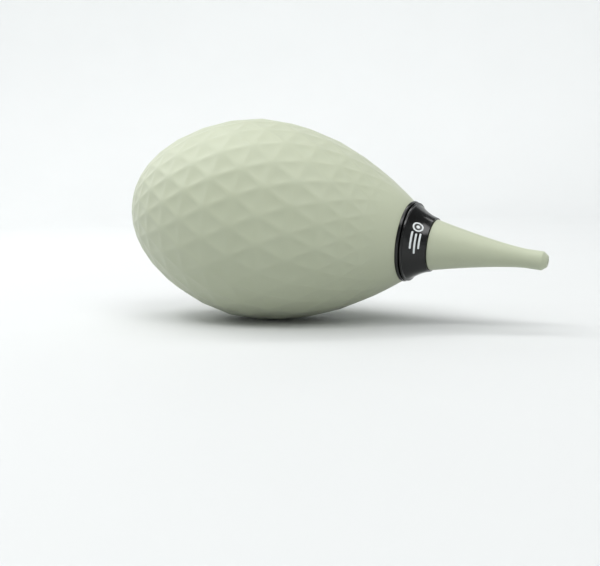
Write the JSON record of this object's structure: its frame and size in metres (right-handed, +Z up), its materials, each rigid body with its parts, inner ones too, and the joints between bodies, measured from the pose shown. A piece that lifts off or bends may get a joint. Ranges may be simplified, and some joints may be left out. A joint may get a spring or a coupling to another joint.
{
  "type": "dust blower bulb",
  "caption": "Egg-shaped faceted silicone squeeze bulb with a black screw collar and a tapered nozzle; a one-way filtered intake valve sits in the tail.",
  "frame": {"origin": "bottom centre of the object's box as it lies on one flat belly facet", "axes": "+X from the tail towards the nozzle, which dips 7.72 degrees, +Y across, +Z up"},
  "size_m": [0.1494, 0.07, 0.0707],
  "materials": {
    "sage_silicone": "matte moulded silicone",
    "black_abs": "satin black moulded ABS",
    "natural_pom": "natural white acetal",
    "clear_silicone": "soft translucent silicone",
    "filter_foam": "open cell foam",
    "steel_screen": "fine stainless screen",
    "black_rubber": "nitrile O-ring"
  },
  "bodies": {
    "root": {"bulb_shell": "sage_silicone", "neck_bushing": "black_abs", "neck_ring": "black_abs", "outlet_seat": "natural_pom", "outlet_retainer": "natural_pom"},
    "outlet_valve": {"outlet_flap": "clear_silicone"},
    "nozzle_unit": {"nozzle": "sage_silicone"},
    "collar": {"nozzle_collar": "black_abs"},
    "tail_valve": {"intake_housing": "black_abs", "tail_nut": "black_abs", "intake_seat": "natural_pom", "intake_retainer": "natural_pom", "filter_screen": "steel_screen", "filter_pad": "filter_foam"},
    "intake_valve": {"intake_flap": "clear_silicone"},
    "filter_cap": {"intake_cap": "black_abs", "cap_oring": "black_rubber"}
  },
  "joints": [
    {"name": "bulb_squeeze", "type": "slide", "parent": "root", "child": "tail_valve", "axis": [0.9909, 0, -0.1344], "range_m": [0, 0.018], "stiffness_N_per_m": 700, "deforming": ["bulb_shell"]},
    {"name": "nozzle_draw", "type": "slide", "parent": "root", "child": "nozzle_unit", "axis": [0.9909, 0, -0.1344], "range_m": [0, 0.004]},
    {"name": "collar_unscrew", "type": "hinge", "parent": "nozzle_unit", "child": "collar", "pos_m": [0.03366, 0, 0.02714], "axis": [0.9909, 0, -0.1344], "range_deg": [0, 720]},
    {"name": "outlet_flap_lift", "type": "slide", "parent": "root", "child": "outlet_valve", "axis": [0.9909, 0, -0.1344], "range_m": [0, 0.0009], "stiffness_N_per_m": 40},
    {"name": "intake_flap_lift", "type": "slide", "parent": "tail_valve", "child": "intake_valve", "axis": [0.9909, 0, -0.1344], "range_m": [0, 0.0009], "stiffness_N_per_m": 40},
    {"name": "cap_twist", "type": "hinge", "parent": "tail_valve", "child": "filter_cap", "pos_m": [-0.07297, 0, 0.0416], "axis": [-0.9909, 0, 0.1344], "range_deg": [0, 60]}
  ],
  "couplings": [
    {"joint": "collar_unscrew", "follows": "nozzle_draw", "rad_per_m": 3141.6}
  ]
}
